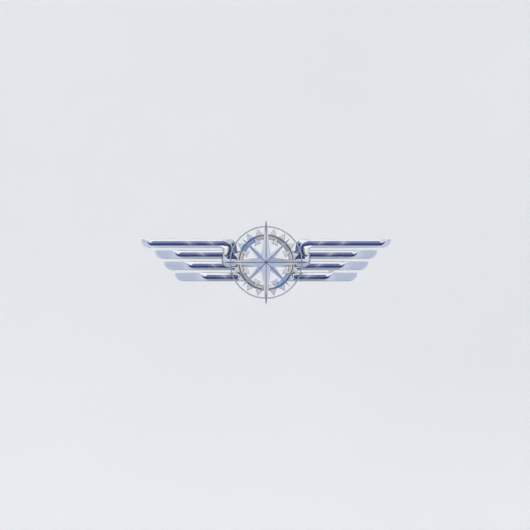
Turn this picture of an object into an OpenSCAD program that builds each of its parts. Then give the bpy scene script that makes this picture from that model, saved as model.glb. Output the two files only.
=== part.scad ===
// Pilot wings pin: a compass rose between two wings of four feathers, on a backing frame that
// carries a hinged brooch pin and its rotating safety catch.
// Millimetres, upright as worn: X runs along the wings, Z is up and the front faces -Y.
// The origin is on the pin stem's axis, halfway along the badge, behind the third feathers.
// A depth is a distance in front of that axis, so a depth of 3 is the plane y = -3. Heights
// are measured from the compass's centre, which the helpers below raise by compass_z.

/* [Wings] */
// Distance from the centre to each feather's tip, top feather first
feather_tips = [38.1, 33.8, 31.1, 27.8]; // [27:0.1:40]
// Distance from the centre to the outer end of each feather's moulding
moulding_ends = [36.6, 28.1, 24.3, 20]; // [18:0.1:37]
// Height of one feather
feather_h = 2.7; // [2.5:0.05:2.8]
// Step from one feather down to the next
feather_pitch = 3.4; // [3.2:0.01:3.6]
// Height of the wings' top edge above the compass's centre
wing_top = 7.15; // [7:0.05:7.4]
// Height of the enamel stripe in a moulding
stripe_h = 1.3; // [1:0.05:1.5]

/* [Compass] */
// Radius of the thin outer ring, to the middle of its band
outer_ring_r = 10.9; // [10.8:0.05:11.2]
// Width of the thin outer ring's band
outer_ring_w = 0.4; // [0.3:0.05:0.5]
// Inner radius of the bezel
bezel_r_in = 6.95; // [6.8:0.05:7]
// Outer radius of the bezel
bezel_r_out = 8.6; // [8.5:0.05:8.65]
// Radius of the spikes' tips
spike_tip_r = 10.45; // [10:0.05:10.6]
// Angles of the spikes from the vertical, in each quarter of the compass
spike_angles = [14.2, 33.7, 56.6, 76]; // [10:0.1:80]
// Radius of the inner pointers' straight sides
pointer_base_r = 6; // [5.8:0.05:6.2]
// Angles of the inner pointers from the vertical, in each quarter of the compass
pointer_angles = [24.5, 66]; // [20:0.5:70]
// Reach of the north and south rays
ray_reach_ns = 12.9; // [12.5:0.1:13.2]
// Reach of the east and west rays
ray_reach_ew = 12.7; // [12.5:0.1:13.2]
// Reach of the diagonal rays
ray_reach_diagonal = 10.3; // [10:0.05:10.4]

/* [Brooch pin] */
// Radius of the pin's wire
stem_r = 0.4; // [0.35:0.01:0.42]
// Distance from the centre to the hinge, and on the other side to the catch
finding_reach = 20; // [19:0.5:21]
// Radius of the hinge's rivet
hinge_rivet_r = 0.35; // [0.3:0.01:0.4]
// Running clearance of the hinge and of the catch
running_gap = 0.04; // [0.02:0.01:0.05]
// Outer radius of the catch's housing
housing_r = 1.4; // [1.35:0.05:1.5]
// Outer radius of the catch's rotor
rotor_r = 1; // [0.95:0.05:1]
// Angle of the rotor's lever below the horizontal when the catch is open
lever_angle = 48; // [46:1:50]

/* [Layers] */
// Depth of the backing frame's rear face
frame_back = 2.6; // [2.5:0.1:2.8]
// Depth at which the feathers sit on the frame
blade_back = 3.3; // [3.2:0.1:3.4]
// Depth of the feathers' flat front faces
blade_front = 4; // [3.9:0.1:4.1]
// Depth of the mouldings' front faces
moulding_front = 4.5; // [4.4:0.05:4.6]
// Depth of the scrolls' front faces
scroll_front = 4.75; // [4.7:0.05:4.8]
// Depth of the face that carries the star and the inner pointers
bezel_front = 5.5; // [5.5:0.05:5.6]
// Depth of the star's point at its centre
star_peak = 6.85; // [6.6:0.05:7]

/* [Hidden] */
$fn = 96;
sides = ["left", "right"];
quarters = [0, 90, 180, 270];
feather_ids = [1, 2, 3, 4];
pointer_ids = [1, 2, 3, 4, 5, 6, 7, 8];

bright = "#d5dae6";
pale = "#c3cbe0";
navy = "#2b3f6b";
nickel = "#a9adb5";
steel = "#8f959f";

// Height of the compass's centre above the pin's axis, which the third feathers hide
compass_z = -feather_z(3);

// Compass
boss_r_in = 7.35;
boss_r_out = 8.5;
spikes_back = 4.8;
spikes_front = 5.1;
spike_base_r = 8.3;
spike_base_half = 0.95;
spike_skew = 0.6;
pointer_front = bezel_front + 0.35;
pointer_half = 1.13;
pointer_apex_r = 8.55;

// Star: both crosses share the layer from bezel_front to lap_front, half-lapped where they cross
lap_front = bezel_front + 0.25;
notch = 1.5;
shoulder_r = 10.9;
shoulder_half = 0.36;
diagonal_notch = 1.02;
diagonal_peak = 6.2;
star_rivet_r = 0.45;
star_rivet_head_r = 0.9;
star_rivet_head_h = 0.3;
star_rivet_top = 6.3;

// Wings
root_r = 8.65;
blade_starts = [9.85, 8, 8, 6.2];
tip_edge = 0.12;
moulding_flat = 0.05;
channel_back = 4.2;
chisel_lean = 0.7;
chisel_run = 1.6;
scroll_start = 12.85;
scroll_end = 13.85;
scroll_neck_r = 0.75;
scroll_bulge_front = scroll_front + 0.3;
moulding_starts = [scroll_start - 0.2, 12.8, 9.3, 8.2];
inlay_inset = 0.25;
frame_arm_starts = [10, 7.6, 7.6, 6.6];
frame_arm_ends = [27, 25, 25.4, 19.4];
frame_rib_x = 10;
frame_rib_w = 2.2;
frame_arm_h = 2.2;
rivet_r = 0.35;
rivet_head_r = 0.6;
rivet_head_h = 0.25;
rivet_front = 3.7;
rivet_places = [[14, 26], [14.5, 24], [15.2, 24.3], [12, 18.3]];

// Findings
foot_back = 2.1;
foot_half_h = 1.25;
foot_half_w = 2.5;
knuckle_half = 0.25;
knuckle_r = 1.1;
ear_r = 1;
ear_t = 0.35;
hinge_head_r = 0.6;
hinge_head_h = 0.2;
stem_start = -18.5;
stem_end = 17.9;
neck_end = 21.6;
neck_r = 0.32;
point_end = 22.6;
point_r = 0.05;
housing_half = 1.5;
collar_t = 0.5;
mouth_half = 0.6;
mouth_angle = 64;
pedestal_half = 0.8;
rotor_bore_r = 0.5;
lever_root_r = 0.85;
lever_tip_r = 2.5;
lever_t = 0.4;
lever_bead_r = 0.3;
cut = 4;

function feather_z(i) = wing_top - feather_h / 2 - (i - 1) * feather_pitch;
function arc(x, z, r, from, to, steps) =
    [for (k = [0:steps]) let (a = from + (to - from) * k / steps) [x + r * cos(a), z + r * sin(a)]];
// A point at radius r and at angle a from the vertical, moved sideways by s
function polar(r, a, s = 0) = [r * sin(a) + s * cos(a), r * cos(a) - s * sin(a)];

// Raises an outline drawn in X and Z from one depth to another
module layer(back, front)
    translate([0, -back, compass_z]) rotate([90, 0, 0]) linear_extrude(front - back) children();

// Turns an outline drawn in radius and depth about the compass's axis
module turned()
    translate([0, 0, compass_z]) rotate([90, 0, 0]) rotate_extrude($fn = 128) children();

// Runs an outline drawn in Y and Z along X
module along_x(from, to)
    translate([from, 0, 0]) rotate([90, 0, 90]) linear_extrude(to - from) children();

module post(x, z, r, back, front)
    translate([x, -back, z + compass_z]) rotate([90, 0, 0])
        cylinder(r = r, h = front - back, $fn = 32);

module on_side(side)
    mirror([side == "left" ? 1 : 0, 0, 0]) children();

// --- Backing frame ---

module frame_arm(i) {
    z = feather_z(i);
    start = frame_arm_starts[i - 1];
    end = frame_arm_ends[i - 1];
    layer(frame_back, blade_back) translate([start, z - frame_arm_h / 2])
        square([end - start, frame_arm_h]);
    post(end, z, frame_arm_h / 2, frame_back, blade_back);
}

module frame_rib() {
    low = feather_z(3) - frame_arm_h / 2;
    high = feather_z(1) + frame_arm_h / 2;
    layer(frame_back, blade_back) translate([frame_rib_x, low]) square([frame_rib_w, high - low]);
}

module backing_frame() color(nickel) difference() {
    union() {
        turned() translate([boss_r_in, frame_back])
            square([boss_r_out - boss_r_in, spikes_back - frame_back]);
        for (s = sides) on_side(s) {
            for (i = feather_ids) frame_arm(i);
            frame_rib();
        }
    }
    post(0, 0, boss_r_in, frame_back - 1, spikes_back + 1);
    for (s = sides, i = feather_ids, x = rivet_places[i - 1])
        on_side(s) post(x, feather_z(i), rivet_r, frame_back - 1, blade_back + 1);
}

// --- Feathers ---

// A straight bar with the cross-section "profile" in height and depth. Its outer end is cut by
// one plane that leans with the feather's tip and runs down to the blade like a chisel.
module chisel_bar(profile, from, to) {
    n = len(profile);
    top = feather_h / 2;
    function end_x(p) = to - chisel_lean * (top - p[0]) - chisel_run * (p[1] - blade_front);
    points = concat(
        [for (p = profile) [from, -p[1], p[0]]],
        [for (p = profile) [end_x(p), -p[1], p[0]]]
    );
    polyhedron(points, concat(
        [[for (k = [0:n - 1]) k]],
        [[for (k = [n - 1:-1:0]) n + k]],
        [for (k = [0:n - 1]) [k, n + k, n + (k + 1) % n, (k + 1) % n]]
    ));
}

module blade(i) {
    z = feather_z(i);
    tip = feather_tips[i - 1];
    r = feather_h - tip_edge;
    top = z + feather_h / 2;
    start = blade_starts[i - 1];
    layer(blade_back, blade_front) polygon(concat(
        [[start, top - feather_h]],
        arc(tip - r, top - tip_edge, r, -90, 0, 12),
        arc(tip - tip_edge, top - tip_edge, tip_edge, 30, 90, 2),
        [[start, top]]
    ));
}

module moulding(i) {
    half = feather_h / 2;
    stripe = stripe_h / 2;
    flat_edge = stripe + moulding_flat;
    from = moulding_starts[i - 1];
    translate([0, 0, feather_z(i) + compass_z]) chisel_bar([
        [half, blade_front],
        [flat_edge, moulding_front],
        [stripe, moulding_front],
        [stripe, channel_back],
        [-stripe, channel_back],
        [-stripe, moulding_front],
        [-flat_edge, moulding_front],
        [-half, blade_front]
    ], from, moulding_ends[i - 1]);
}

module scroll_outline() {
    z = feather_z(1);
    low = z - feather_h / 2;
    stripe = stripe_h / 2;
    polygon(concat(
        [[10.4, wing_top], [9.85, 6.5], [9.1, 5.5], [8.9, 4], [8.6, 2], [8.75, 0], [8.6, -1.75]],
        arc(11.1, 0.65, 2.4, -90, 0, 10),
        [[13.4, 2], [13.1, 3.1]],
        arc(scroll_end, low - scroll_neck_r, scroll_neck_r, 180, 90, 4),
        [[scroll_end, z - 1], [scroll_start, z - stripe], [scroll_start, z + stripe]],
        [[scroll_end, z + 1], [scroll_end, wing_top]]
    ));
}

module scroll_bulge_outline() polygon(concat(
    [[12.3, 5.1], [11.3, 5], [11.15, 4.2], [11.25, 2.9]],
    arc(12.05, 2.85, 0.8, 190, 350, 8),
    [[13, 3.4], [13.1, 4.3]]
));

// What the scroll takes out of the feathers that it crosses
module scroll_space() layer(blade_front, scroll_front) scroll_outline();

module window_outline() polygon([[9, 1.3], [11, 1.3], [10.7, 2.2], [10.3, 2.8], [9.7, 2.4]]);

module feather(side, i) color(i == 1 ? bright : pale) on_side(side) difference() {
    union() {
        blade(i);
        moulding(i);
        if (i == 1) {
            layer(blade_front, scroll_front) scroll_outline();
            layer(scroll_front, scroll_bulge_front) scroll_bulge_outline();
        }
    }
    post(0, 0, root_r, blade_back - 1, blade_front + 2);
    if (i == 1) layer(blade_front - 0.1, scroll_front + 1) window_outline();
    else scroll_space();
    for (x = rivet_places[i - 1])
        post(x, feather_z(i), rivet_r, blade_back - 1, rivet_front);
}

// --- Enamel ---

module inlay(side, i) color(navy) on_side(side) {
    stripe = stripe_h / 2;
    difference() {
        translate([0, 0, feather_z(i) + compass_z]) chisel_bar([
            [stripe, channel_back],
            [stripe, moulding_front],
            [-stripe, moulding_front],
            [-stripe, channel_back]
        ], moulding_starts[i - 1] + inlay_inset, moulding_ends[i - 1]);
        if (i != 1) scroll_space();
    }
    if (i == 2) layer(blade_front, blade_front + 0.3) window_outline();
}

module rivets(side) color(steel) on_side(side)
    for (i = feather_ids, x = rivet_places[i - 1]) {
        post(x, feather_z(i), rivet_r, frame_back - 0.1, rivet_front);
        post(x, feather_z(i), rivet_head_r, frame_back - rivet_head_h, frame_back);
    }

// --- Compass ---

module spike(a) polygon([
    polar(spike_base_r, a, -spike_base_half),
    polar(spike_base_r + 0.9, a, -spike_base_half * spike_skew),
    polar(spike_tip_r, a),
    polar(spike_base_r + 0.9, a, spike_base_half * spike_skew),
    polar(spike_base_r, a, spike_base_half)
]);

module compass_spike_ring() color(pale) {
    turned() translate([boss_r_in, spikes_back])
        square([boss_r_out - boss_r_in, spikes_front - spikes_back]);
    for (q = quarters, a = spike_angles) layer(spikes_back, spikes_front) spike(q + a);
}

module compass_bezel() color(bright) turned() polygon([
    [bezel_r_in, 3.1],
    [boss_r_in, 3.1],
    [boss_r_in, spikes_front],
    [bezel_r_out, spikes_front],
    [bezel_r_out, bezel_front - 0.1],
    [bezel_r_out - 0.05, bezel_front - 0.05],
    [8.3, bezel_front - 0.05],
    [8.25, bezel_front - 0.15],
    [8.15, bezel_front - 0.15],
    [8.1, bezel_front],
    [7.7, bezel_front],
    [bezel_r_in, bezel_front - 0.3]
]);

module compass_outer_ring() color(bright) turned()
    translate([outer_ring_r - outer_ring_w / 2, scroll_front])
        square([outer_ring_w, bezel_front - scroll_front]);

module inner_pointer(k) {
    a = quarters[floor((k - 1) / 2)] + pointer_angles[(k - 1) % 2];
    color(pale) layer(bezel_front, pointer_front) polygon([
        polar(pointer_base_r, a, -pointer_half),
        polar(pointer_base_r + 1.1, a, -0.5),
        polar(pointer_apex_r, a),
        polar(pointer_base_r + 1.1, a, 0.5),
        polar(pointer_base_r, a, pointer_half)
    ]);
}

// --- Star ---

function cardinal_reach(q) = q % 180 == 0 ? ray_reach_ns : ray_reach_ew;
// Outline of the cardinal star, four points to a quarter: tip, shoulder, notch, next shoulder
cardinal_outline = [for (q = quarters) each [
    polar(cardinal_reach(q), q),
    polar(shoulder_r, q, shoulder_half),
    polar(notch * sqrt(2), q + 45),
    polar(shoulder_r, q + 90, -shoulder_half)
]];
diagonal_outline = [for (q = quarters) each [
    polar(ray_reach_diagonal, q + 45),
    polar(diagonal_notch * sqrt(2), q + 90)
]];

// A flat-backed star: its edge stands "edge_fronts" deep, and its facets rise to one peak
module faceted_star(outline, edge_fronts, peak) {
    n = len(outline);
    points = concat(
        [for (p = outline) [p[0], -bezel_front, p[1]]],
        [for (k = [0:n - 1]) [outline[k][0], -edge_fronts[k], outline[k][1]]],
        [[0, -bezel_front, 0], [0, -peak, 0]]
    );
    translate([0, 0, compass_z]) polyhedron(points, concat(
        [for (k = [0:n - 1]) [(k + 1) % n, k, 2 * n]],
        [for (k = [0:n - 1]) [k, (k + 1) % n, n + (k + 1) % n, n + k]],
        [for (k = [0:n - 1]) [n + k, n + (k + 1) % n, 2 * n + 1]]
    ));
}

module cardinal_star() color(bright) difference() {
    faceted_star(cardinal_outline, [for (q = quarters) each [5.6, 5.68, 5.95, 5.68]], star_peak);
    layer(bezel_front - 1, lap_front) polygon(diagonal_outline);
    post(0, 0, star_rivet_r, bezel_front - 1, star_rivet_top);
}

module diagonal_star() color(pale) difference() {
    faceted_star(diagonal_outline, [for (q = quarters) each [5.6, 5.75]], diagonal_peak);
    layer(lap_front, star_peak) polygon(cardinal_outline);
    post(0, 0, star_rivet_r, bezel_front - 1, star_rivet_top);
}

module star_rivet() color(steel) {
    post(0, 0, star_rivet_r, bezel_front - 0.1, star_rivet_top);
    post(0, 0, star_rivet_head_r, bezel_front - star_rivet_head_h, bezel_front);
}

// --- Hinge ---

// Stadium-shaped plate soldered to the frame behind the third feather
module foot(x) {
    reach = foot_half_w - foot_half_h;
    translate([x - reach, -frame_back, -foot_half_h])
        cube([2 * reach, frame_back - foot_back, 2 * foot_half_h]);
    for (end = [-1, 1]) post(x + end * reach, -compass_z, foot_half_h, foot_back, frame_back);
}

module hinge_bracket() color(steel) {
    foot(-finding_reach);
    for (up = [0, 1]) mirror([0, 0, up])
        translate([-finding_reach, 0, knuckle_half + running_gap]) difference() {
            union() {
                translate([-ear_r, -foot_back, 0]) cube([2 * ear_r, foot_back, ear_t]);
                cylinder(r = ear_r, h = ear_t);
            }
            translate([0, 0, -1]) cylinder(r = hinge_rivet_r, h = ear_t + 2);
        }
}

module hinge_rivet() color(nickel) translate([-finding_reach, 0, 0]) {
    half = knuckle_half + running_gap + ear_t;
    translate([0, 0, -half]) cylinder(r = hinge_rivet_r, h = 2 * half);
    for (up = [0, 1]) mirror([0, 0, up]) translate([0, 0, half])
        cylinder(r1 = hinge_head_r, r2 = hinge_rivet_r, h = hinge_head_h);
}

module pin_stem() color(steel) {
    translate([-finding_reach, 0, -knuckle_half]) difference() {
        union() {
            cylinder(r = knuckle_r, h = 2 * knuckle_half);
            translate([0, -stem_r, 0])
                cube([stem_start + finding_reach + 0.1, 2 * stem_r, 2 * knuckle_half]);
        }
        translate([0, 0, -1]) cylinder(r = hinge_rivet_r + running_gap, h = 3);
    }
    rotate([0, 90, 0]) {
        translate([0, 0, stem_start]) cylinder(r = stem_r, h = stem_end - stem_start);
        translate([0, 0, stem_end]) cylinder(r1 = stem_r, r2 = neck_r, h = neck_end - stem_end);
        translate([0, 0, neck_end]) cylinder(r1 = neck_r, r2 = point_r, h = point_end - neck_end);
    }
}

// --- Catch ---

module catch_housing() color(steel) {
    inner_r = rotor_r + running_gap;
    sweep_y = cut * cos(mouth_angle);
    sweep_z = cut * sin(mouth_angle);
    foot(finding_reach);
    translate([finding_reach, 0, 0]) difference() {
        union() {
            along_x(-housing_half, housing_half)
                translate([-foot_back, -pedestal_half]) square([foot_back, 2 * pedestal_half]);
            rotate([0, 90, 0]) cylinder(r = housing_r, h = 2 * housing_half, center = true);
        }
        rotate([0, 90, 0]) cylinder(r = inner_r, h = 2 * housing_half + 1, center = true);
        along_x(-cut, cut) translate([0, -mouth_half]) square([cut, 2 * mouth_half]);
        along_x(collar_t - housing_half, housing_half - collar_t)
            polygon([[0, 0], [sweep_y, -sweep_z], [cut, -sweep_z], [cut, sweep_z], [sweep_y, sweep_z]]);
    }
}

module catch_rotor() color(nickel) translate([finding_reach, 0, 0]) {
    lever_half = housing_half - collar_t - 0.15;
    difference() {
        rotate([0, 90, 0]) cylinder(r = rotor_r, h = 2 * housing_half, center = true);
        rotate([0, 90, 0]) cylinder(r = rotor_bore_r, h = 2 * housing_half + 1, center = true);
        along_x(-cut, cut) translate([0, -rotor_bore_r]) square([cut, 2 * rotor_bore_r]);
    }
    rotate([-lever_angle, 0, 0]) {
        along_x(-lever_half, lever_half) translate([lever_root_r, -lever_t / 2])
            square([lever_tip_r - lever_bead_r - lever_root_r, lever_t]);
        translate([0, lever_tip_r - lever_bead_r, 0]) rotate([0, 90, 0])
            cylinder(r = lever_bead_r, h = 2 * lever_half, center = true, $fn = 32);
    }
}

backing_frame();
for (s = sides, i = feather_ids) {
    feather(s, i);
    inlay(s, i);
}
for (s = sides) rivets(s);
compass_spike_ring();
compass_bezel();
compass_outer_ring();
for (k = pointer_ids) inner_pointer(k);
diagonal_star();
cardinal_star();
star_rivet();
hinge_bracket();
hinge_rivet();
pin_stem();
catch_housing();
catch_rotor();
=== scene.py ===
"""Looks of the pilot wings pin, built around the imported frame.

The fronts are drawn in millimetres and in compass coordinates: x runs to the right and z up
from the compass's centre, and a depth is measured in front of the pin's axis, as in the
frame. place() turns them into metres. Only the right wing is drawn; the left is its mirror."""

import math

import bmesh
import bpy
import numpy as np
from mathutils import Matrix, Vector
from mathutils.geometry import delaunay_2d_cdt


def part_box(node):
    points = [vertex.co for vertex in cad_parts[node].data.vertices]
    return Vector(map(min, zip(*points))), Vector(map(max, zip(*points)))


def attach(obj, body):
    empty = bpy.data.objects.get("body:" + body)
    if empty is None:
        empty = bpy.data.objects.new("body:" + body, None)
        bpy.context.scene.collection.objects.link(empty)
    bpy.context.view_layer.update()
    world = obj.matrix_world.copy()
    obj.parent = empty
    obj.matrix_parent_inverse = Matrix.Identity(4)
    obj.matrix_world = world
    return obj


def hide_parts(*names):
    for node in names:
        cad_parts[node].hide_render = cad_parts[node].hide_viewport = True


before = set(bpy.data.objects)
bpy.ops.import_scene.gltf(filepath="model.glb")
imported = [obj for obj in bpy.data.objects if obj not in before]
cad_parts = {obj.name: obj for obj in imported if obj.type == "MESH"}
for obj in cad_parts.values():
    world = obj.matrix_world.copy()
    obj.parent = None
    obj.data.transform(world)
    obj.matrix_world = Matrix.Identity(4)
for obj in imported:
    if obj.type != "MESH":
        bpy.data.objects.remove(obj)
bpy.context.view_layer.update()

MM = 0.001
SIDES = (("right", 1), ("left", -1))


def box_mm(node):
    """A node's lowest and highest corners in millimetres."""
    low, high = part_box(node)
    return low / MM, high / MM


ring_low, ring_high = box_mm("compass_outer_ring")
CENTRE_Z = (ring_low.z + ring_high.z) / 2


# --- Camera, backdrop and lights ---

LENS = 120
SENSOR = 36
VIEW_WIDTH = 161.4
FRONT_DEPTH = 4.3
CAMERA_X = -0.335
COMPASS_RISE = 0.79


def add_camera():
    data = bpy.data.cameras.new("camera")
    data.lens = LENS
    data.sensor_width = SENSOR
    data.clip_start = 0.01
    camera = bpy.data.objects.new("camera", data)
    distance = VIEW_WIDTH * LENS / SENSOR
    height = CENTRE_Z - COMPASS_RISE
    camera.location = (CAMERA_X * MM, -(FRONT_DEPTH + distance) * MM, height * MM)
    camera.rotation_euler = (math.radians(90), 0, 0)
    bpy.context.scene.collection.objects.link(camera)
    bpy.context.scene.camera = camera


def softbox(name, direction, distance, size, radiance, colour=(1, 1, 1)):
    """A rectangular area light that faces the origin. Its power follows from its radiance."""
    data = bpy.data.lights.new(name, "AREA")
    data.shape = "RECTANGLE"
    data.size, data.size_y = size
    data.energy = radiance * math.pi * size[0] * size[1]
    data.color = colour
    light = bpy.data.objects.new(name, data)
    azimuth, elevation = (math.radians(a) for a in direction)
    towards = Vector((
        math.sin(azimuth) * math.cos(elevation),
        -math.cos(azimuth) * math.cos(elevation),
        math.sin(elevation),
    ))
    light.location = towards * distance
    light.rotation_euler = towards.to_track_quat("Z", "Y").to_euler()
    light.visible_camera = False
    bpy.context.scene.collection.objects.link(light)


def add_lights():
    """Azimuth and elevation are in degrees, and distances and sizes in metres."""
    softbox("front", (0, 13), 1.15, (1.5, 0.96), 0.42)
    softbox("key", (-28, 46), 0.75, (0.62, 0.4), 1.0, (1, 0.99, 0.97))
    softbox("top", (0, 80), 0.6, (0.9, 0.42), 0.64)
    softbox("right", (75, 22), 0.9, (0.5, 0.6), 0.8, (0.96, 0.98, 1))
    softbox("back", (165, 40), 0.9, (0.9, 0.6), 1.0)


# --- Small numeric helpers ---


def srgb(red, green, blue):
    """A colour given as 0 to 255, as linear values."""
    channels = np.array((red, green, blue), float) / 255
    return np.where(channels <= 0.04045, channels / 12.92, ((channels + 0.055) / 1.055) ** 2.4)


def smoothstep(low, high, value):
    t = np.clip((value - low) / (high - low), 0, 1)
    return t * t * (3 - 2 * t)


def mix(a, b, t):
    """Blends two colours, or two arrays of colours, by an array of factors or a mask."""
    return a + (b - a) * np.asarray(t, float)[..., None]


def smooth_min(a, b, k=0.05):
    h = np.clip(0.5 + (b - a) / (2 * k), 0, 1)
    return b + (a - b) * h - k * h * (1 - h)


def smooth_max(a, b, k=0.05):
    return -smooth_min(-np.asarray(a), -np.asarray(b), k)


def arc(x, z, r, start, end, steps):
    angles = np.radians(np.linspace(start, end, steps + 1))
    return [(x + r * math.cos(a), z + r * math.sin(a)) for a in angles]


def polar(r, degrees, sideways=0):
    """A point at radius r and at an angle from the vertical, moved sideways."""
    a = math.radians(degrees)
    return (
        r * math.sin(a) + sideways * math.cos(a),
        r * math.cos(a) - sideways * math.sin(a),
    )


def spline(points, steps=6):
    """A smooth open curve through points of any dimension."""
    points = np.array(points, float)
    padded = np.vstack([2 * points[0] - points[1], points, 2 * points[-1] - points[-2]])
    curve = []
    for k in range(len(points) - 1):
        a, b, c, d = padded[k : k + 4]
        for t in np.linspace(0, 1, steps, endpoint=False):
            curve.append(0.5 * (
                2 * b + (c - a) * t + (2 * a - 5 * b + 4 * c - d) * t**2
                + (3 * b - a - 3 * c + d) * t**3
            ))
    curve.append(points[-1])
    return np.array(curve)


def resample(path, step, closed):
    """The same path with no stretch longer than step."""
    path = np.array(path, float)
    ends = np.roll(path, -1, axis=0) if closed else path[1:]
    out = []
    for a, b in zip(path, ends):
        count = max(1, math.ceil(np.linalg.norm(b - a) / step))
        out.extend(a + (b - a) * k / count for k in range(count))
    if not closed:
        out.append(path[-1])
    return np.array(out)


def inside(polygon, x, z):
    polygon = np.asarray(polygon, float)
    hit = np.zeros(np.shape(x), bool)
    for (ax, az), (bx, bz) in zip(polygon, np.roll(polygon, -1, axis=0)):
        if az != bz:
            hit ^= ((az > z) != (bz > z)) & (x < ax + (z - az) * (bx - ax) / (bz - az))
    return hit


def distance(path, x, z, closed=False):
    """Distance from each point to a path."""
    path = np.asarray(path, float)
    ends = np.roll(path, -1, axis=0) if closed else path[1:]
    best = np.full(np.shape(x), 1e9)
    for (ax, az), (bx, bz) in zip(path, ends):
        dx, dz = bx - ax, bz - az
        t = np.clip(((x - ax) * dx + (z - az) * dz) / max(dx * dx + dz * dz, 1e-12), 0, 1)
        best = np.minimum(best, np.hypot(x - ax - t * dx, z - az - t * dz))
    return best


def inset(polygon, amount):
    """The polygon moved inwards, with mitred corners."""
    polygon = np.asarray(polygon, float)
    (x, z), (next_x, next_z) = polygon.T, np.roll(polygon, -1, axis=0).T
    sign = np.sign(np.sum(x * next_z - z * next_x))
    before = polygon - np.roll(polygon, 1, axis=0)
    after = np.roll(polygon, -1, axis=0) - polygon
    normals = []
    for edge in (before, after):
        unit = edge / np.linalg.norm(edge, axis=1)[:, None]
        normals.append(sign * np.stack([-unit[:, 1], unit[:, 0]], axis=1))
    total = normals[0] + normals[1]
    scale = np.maximum(np.sum(total * normals[0], axis=1), 0.5)
    return polygon + amount * total / scale[:, None]


def ribbon(centre):
    """Both edges of a band given as rows of x, z and half-width."""
    along = np.gradient(centre[:, :2], axis=0)
    along /= np.linalg.norm(along, axis=1)[:, None]
    across = np.stack([-along[:, 1], along[:, 0]], axis=1) * centre[:, 2:3]
    return centre[:, :2] + across, centre[:, :2] - across


# --- Mesh helpers ---


def place(x, z, depth):
    return Vector((x * MM, -depth * MM, (z + CENTRE_Z) * MM))


def finish_mesh(name, bm, sharp_angle=28, weighted=True):
    """Welds, turns the faces outwards, shades and links a mesh."""
    bmesh.ops.remove_doubles(bm, verts=bm.verts, dist=2e-7)
    bmesh.ops.dissolve_degenerate(bm, edges=bm.edges, dist=1e-7)
    bmesh.ops.recalc_face_normals(bm, faces=bm.faces)
    mesh = bpy.data.meshes.new(name)
    bm.to_mesh(mesh)
    bm.free()
    mesh.shade_smooth()
    mesh.set_sharp_from_angle(angle=math.radians(sharp_angle))
    piece = bpy.data.objects.new(name, mesh)
    bpy.context.scene.collection.objects.link(piece)
    if weighted:
        weigh_normals(piece)
    return piece


def weigh_normals(piece):
    """Large facets stay flat, and the narrow strips along their creases take the turn."""
    modifier = piece.modifiers.new("normals", "WEIGHTED_NORMAL")
    modifier.keep_sharp = True
    modifier.weight = 90


def paint_corners(piece, paint):
    """Writes the tint attribute: paint gets x, z and the face normals of the corners, each
    moved a little into its face, and gives red, green, blue and polish. Backs are grey.
    Returns the piece."""
    mesh = piece.data
    x, z, _, normal = corners_of(mesh, 0.06)
    values = paint(x, z, normal)
    values[normal[:, 1] > BACKWARDS, :3] = BACK_GREY
    tint = mesh.color_attributes.new("tint", "FLOAT_COLOR", "CORNER")
    tint.data.foreach_set("color", np.clip(values, 0, 1).astype(np.float32).ravel())
    return piece


def with_polish(colour, polish):
    """Joins an array of colours with its polish, 0 for matt and 1 for bright."""
    return np.concatenate([colour, np.broadcast_to(polish, colour.shape[:1])[:, None]], axis=1)


SURFACES = {}
EDGE_DROP = 0.7
CDT_EPSILON = 1e-5


def relief(name, outline, fronts, backs, creases=(), grids=(), rounding=0.1, step=0.45):
    """A solid with one or more heights in front and behind.

    fronts and backs are lists of (polygon or None, height function); the last polygon that
    holds a triangle sets its height. creases are paths that the mesh follows, and grids are
    (lowest x, highest x, lowest z, highest z, spacing) areas with extra points."""
    outline = resample(outline, step, True)
    closed = [outline]
    closed += [resample(p, step, True) for p, _ in fronts[1:] + backs[1:]]
    if rounding:
        closed += [inset(outline, rounding * k) for k in (0.3, 1)]
    opened = [resample(c, step, False) for c in creases]
    flat, triangles, middles = flat_triangles(closed, opened, grids)
    drop = edge_drop(outline, rounding, *flat.T) if rounding else 0
    heights, regions = [], []
    for side, sunk in ((fronts, drop), (backs, 0)):
        heights.append(np.array([h(*flat.T) * np.ones(len(flat)) for _, h in side]) - sunk)
        regions.append(np.zeros(len(triangles), int))
        for k, (polygon, _) in enumerate(side[1:], 1):
            regions[-1][inside(polygon, *middles.T)] = k
    piece = finish_mesh(name, skin(flat, triangles, heights, regions), weighted=False)
    SURFACES[name] = [rounded(h, outline, rounding) if rounding else h for _, h in fronts]
    shade_front(piece, SURFACES[name])
    return piece


def flat_triangles(closed, opened, grids):
    """Fills the first closed path with triangles that follow every path and take in the
    points of the grids. Returns the points, the triangles and the triangles' middles."""
    points, edges = [], []
    for paths, is_closed in ((closed, True), (opened, False)):
        for path in paths:
            first = len(points)
            points.extend(path)
            edges.extend((first + k, first + k + 1) for k in range(len(path) - 1))
            if is_closed:
                edges.append((len(points) - 1, first))
    for low_x, high_x, low_z, high_z, spacing in grids:
        xs, zs = np.meshgrid(
            np.arange(low_x, high_x, spacing), np.arange(low_z, high_z, spacing)
        )
        xs = xs + (np.arange(len(xs)) % 2)[:, None] * spacing / 2
        xs, zs = xs.ravel(), zs.ravel()
        free = inside(closed[0], xs, zs)
        for paths, is_closed in ((closed, True), (opened, False)):
            for path in paths:
                free &= distance(path, xs, zs, is_closed) > 0.4 * spacing
        points.extend(np.stack([xs[free], zs[free]], axis=1))
    found = delaunay_2d_cdt([Vector(p) for p in points], edges, [], 0, CDT_EPSILON)
    flat = np.array([tuple(v) for v in found[0]])
    triangles = np.array(found[2])
    middles = flat[triangles].mean(axis=1)
    keep = inside(closed[0], *middles.T)
    return flat, triangles[keep], middles[keep]


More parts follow.
